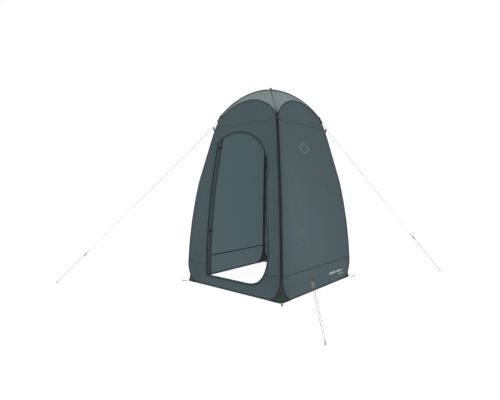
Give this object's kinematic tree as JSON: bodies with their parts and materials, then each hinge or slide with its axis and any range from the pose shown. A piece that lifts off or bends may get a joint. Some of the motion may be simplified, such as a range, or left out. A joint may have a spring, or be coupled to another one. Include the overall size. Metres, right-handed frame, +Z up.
{
  "type": "privacy shower tent",
  "caption": "Pop-up privacy tent with four sprung hoop walls, a bowed roof arch, a zipped door rolled to one side, guy lines and pegs.",
  "frame": {"origin": "on the ground at the centre of the tent's square footprint", "axes": "+Z up; the door wall faces -Y; +X is to the right as seen from in front of the door"},
  "size_m": [2.8077, 2.9062, 1.9645],
  "materials": {
    "tent_cloth": "plain-weave polyester, matt outside",
    "roof_cloth": "the same polyester, paler with light through it",
    "binding_tape": "ribbed polyester binding tape, stitched",
    "webbing": "flat woven webbing",
    "zip_tape": "coil zip on woven tape",
    "guy_cord": "braided orange-red cord",
    "spring_steel": "drawn spring wire",
    "ferrule_steel": "crimped tube",
    "peg_steel": "galvanised wire",
    "slider_metal": "die cast, dark coated",
    "dark_plastic": "moulded, satin",
    "runner_plastic": "moulded, satin grey"
  },
  "bodies": {
    "tent": {"hoop_rod_front": "spring_steel", "hoop_ferrule_front": "ferrule_steel", "hoop_binding_front": "binding_tape", "wall_front": "tent_cloth", "roof_gore_front": "roof_cloth", "hoop_rod_right": "spring_steel", "hoop_ferrule_right": "ferrule_steel", "hoop_binding_right": "binding_tape", "wall_right": "tent_cloth", "roof_gore_right": "roof_cloth", "hoop_rod_back": "spring_steel", "hoop_ferrule_back": "ferrule_steel", "hoop_binding_back": "binding_tape", "wall_back": "tent_cloth", "roof_gore_back": "roof_cloth", "hoop_rod_left": "spring_steel", "hoop_ferrule_left": "ferrule_steel", "hoop_binding_left": "binding_tape", "wall_left": "tent_cloth", "roof_gore_left": "roof_cloth", "corner_gusset_front_right": "tent_cloth", "guy_tab_front_right": "webbing", "guy_anchor_front_right": "webbing", "peg_loop_front_right": "webbing", "corner_peg_front_right": "peg_steel", "corner_gusset_back_right": "tent_cloth", "guy_tab_back_right": "webbing", "guy_anchor_back_right": "webbing", "peg_loop_back_right": "webbing", "corner_peg_back_right": "peg_steel", "corner_gusset_back_left": "tent_cloth", "guy_tab_back_left": "webbing", "guy_anchor_back_left": "webbing", "peg_loop_back_left": "webbing", "corner_peg_back_left": "peg_steel", "corner_gusset_front_left": "tent_cloth", "guy_tab_front_left": "webbing", "guy_anchor_front_left": "webbing", "peg_loop_front_left": "webbing", "corner_peg_front_left": "peg_steel", "roof_arch_rod": "spring_steel", "roof_arch_binding": "binding_tape", "apex_loop": "webbing", "door_zip": "zip_tape", "door_roll": "tent_cloth", "door_tie_lower": "webbing", "door_tie_upper": "webbing", "guy_line_front_right": "guy_cord", "guy_peg_front_right": "peg_steel", "guy_line_back_right": "guy_cord", "guy_peg_back_right": "peg_steel", "guy_line_front_left": "guy_cord", "guy_peg_front_left": "peg_steel"},
    "zip_slider": {"zip_slider": "slider_metal"},
    "zip_pull": {"zip_pull": "dark_plastic"},
    "toggle_lower": {"door_toggle_lower": "dark_plastic"},
    "toggle_upper": {"door_toggle_upper": "dark_plastic"},
    "runner_front_right": {"guy_runner_front_right": "runner_plastic"},
    "runner_back_right": {"guy_runner_back_right": "runner_plastic"},
    "runner_front_left": {"guy_runner_front_left": "runner_plastic"}
  },
  "joints": [
    {"name": "zip_slider_travel", "type": "hinge", "parent": "tent", "child": "zip_slider", "pos_m": [-0.07, -0.51007, 1.04], "axis": [0, -0.9777, 0.2098], "range_deg": [-118, 0]},
    {"name": "zip_pull_flip", "type": "hinge", "parent": "zip_slider", "child": "zip_pull", "pos_m": [-0.2626, -0.432, 1.42712], "axis": [-0.4384, 0.1886, 0.8788], "range_deg": [0, 165]},
    {"name": "toggle_lower_turn", "type": "hinge", "parent": "tent", "child": "toggle_lower", "pos_m": [-0.294, -0.58081, 0.53], "axis": [0, -1, 0], "range_deg": [-90, 90]},
    {"name": "toggle_upper_turn", "type": "hinge", "parent": "tent", "child": "toggle_upper", "pos_m": [-0.294, -0.45027, 1.33543], "axis": [0, -1, 0], "range_deg": [-90, 90]},
    {"name": "runner_front_right_slide", "type": "slide", "parent": "tent", "child": "runner_front_right", "axis": [0.465, -0.3457, -0.815], "range_m": [-0.02, 0.3]},
    {"name": "runner_back_right_slide", "type": "slide", "parent": "tent", "child": "runner_back_right", "axis": [0.4357, 0.4897, -0.7552], "range_m": [-0.02, 0.3]},
    {"name": "runner_front_left_slide", "type": "slide", "parent": "tent", "child": "runner_front_left", "axis": [-0.5015, -0.4964, -0.7086], "range_m": [-0.02, 0.3]}
  ]
}
